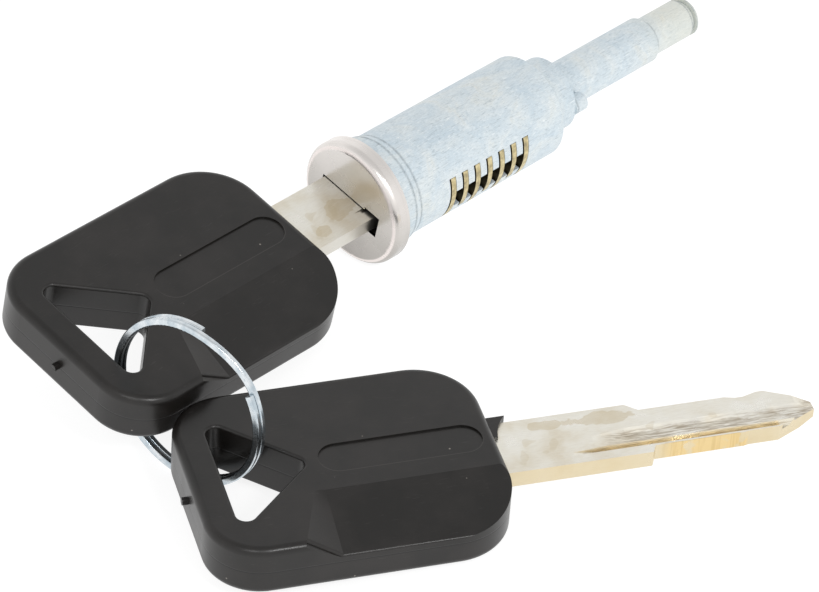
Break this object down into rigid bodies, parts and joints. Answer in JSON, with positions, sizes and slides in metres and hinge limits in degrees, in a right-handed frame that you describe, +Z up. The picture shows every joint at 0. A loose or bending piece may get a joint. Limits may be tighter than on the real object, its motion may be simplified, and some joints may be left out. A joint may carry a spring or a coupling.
{
  "type": "lock cylinder",
  "caption": "Wafer lock cylinder for a small vehicle, with its key inserted and a spare key linked to it by a split ring, lying on a flat surface",
  "frame": {"origin": "Middle of the whole set's footprint (its bounding box), on the table it lies on.", "axes": "+X runs along the lock in plan, from the key heads to the tail, and is the set's longest extent. +Z is up, away from the table, and is the shortest extent. +Y completes the right-handed frame, away from the spare key."},
  "size_m": [0.1198, 0.0788, 0.0229],
  "materials": {
    "zinc_casting": "zinc die casting, passivated, pale bluish white and slightly mottled",
    "stainless_cap": "pressed stainless steel, polished",
    "wafer_brass": "stamped brass, plain",
    "spring_steel": "drawn spring steel wire",
    "nickelled_brass": "brass blade, nickel plated, lightly stained, yellow where the plating is cut through",
    "black_plastic": "injection moulded black plastic, satin",
    "plated_steel": "hardened steel wire, zinc plated, slightly blue"
  },
  "bodies": {
    "lock_plug": {"plug_casting": "zinc_casting", "face_cap": "stainless_cap", "wafer_spring_1": "spring_steel", "wafer_spring_2": "spring_steel", "wafer_spring_3": "spring_steel", "wafer_spring_4": "spring_steel", "wafer_spring_5": "spring_steel", "wafer_spring_6": "spring_steel", "wafer_spring_7": "spring_steel"},
    "key_in_lock": {"key_blade": "nickelled_brass", "key_head": "black_plastic"},
    "ring": {"split_ring": "plated_steel"},
    "spare_key": {"spare_key_blade": "nickelled_brass", "spare_key_head": "black_plastic"},
    "wafer_1": {"wafer_1": "wafer_brass"},
    "wafer_2": {"wafer_2": "wafer_brass"},
    "wafer_3": {"wafer_3": "wafer_brass"},
    "wafer_4": {"wafer_4": "wafer_brass"},
    "wafer_5": {"wafer_5": "wafer_brass"},
    "wafer_6": {"wafer_6": "wafer_brass"},
    "wafer_7": {"wafer_7": "wafer_brass"}
  },
  "joints": [
    {"name": "key_withdrawal", "type": "slide", "parent": "lock_plug", "child": "key_in_lock", "axis": [-0.9988, 0, 0.048], "range_m": [0, 0.045]},
    {"name": "wafer_1_slide", "type": "slide", "parent": "lock_plug", "child": "wafer_1", "axis": [0.0087, 0.9836, 0.1803], "range_m": [0, 0.0008], "stiffness_N_per_m": 150, "springref_m": -0.0012, "deforming": ["wafer_spring_1"]},
    {"name": "wafer_2_slide", "type": "slide", "parent": "lock_plug", "child": "wafer_2", "axis": [-0.0087, -0.9836, -0.1803], "range_m": [0, 0.0008], "stiffness_N_per_m": 150, "springref_m": -0.0012, "deforming": ["wafer_spring_2"]},
    {"name": "wafer_3_slide", "type": "slide", "parent": "lock_plug", "child": "wafer_3", "axis": [0.0087, 0.9836, 0.1803], "range_m": [0, 0.0008], "stiffness_N_per_m": 150, "springref_m": -0.0012, "deforming": ["wafer_spring_3"]},
    {"name": "wafer_4_slide", "type": "slide", "parent": "lock_plug", "child": "wafer_4", "axis": [-0.0087, -0.9836, -0.1803], "range_m": [0, 0.0008], "stiffness_N_per_m": 150, "springref_m": -0.0012, "deforming": ["wafer_spring_4"]},
    {"name": "wafer_5_slide", "type": "slide", "parent": "lock_plug", "child": "wafer_5", "axis": [0.0087, 0.9836, 0.1803], "range_m": [0, 0.0008], "stiffness_N_per_m": 150, "springref_m": -0.0012, "deforming": ["wafer_spring_5"]},
    {"name": "wafer_6_slide", "type": "slide", "parent": "lock_plug", "child": "wafer_6", "axis": [-0.0087, -0.9836, -0.1803], "range_m": [0, 0.0008], "stiffness_N_per_m": 150, "springref_m": -0.0012, "deforming": ["wafer_spring_6"]},
    {"name": "wafer_7_slide", "type": "slide", "parent": "lock_plug", "child": "wafer_7", "axis": [0.0087, 0.9836, 0.1803], "range_m": [0, 0.0008], "stiffness_N_per_m": 150, "springref_m": -0.0012, "deforming": ["wafer_spring_7"]},
    {"name": "ring_swing", "type": "hinge", "parent": "key_in_lock", "child": "ring", "pos_m": [-0.04891, 0.01923, 0.01004], "axis": [0.0841, 0.1424, 0.9862], "range_deg": [-3.2, 1.8]},
    {"name": "spare_key_swing", "type": "hinge", "parent": "ring", "child": "spare_key", "pos_m": [-0.04659, -0.00038, 0.00507], "axis": [-0.1679, 0.5667, -0.8066], "range_deg": [-2, 2]}
  ]
}
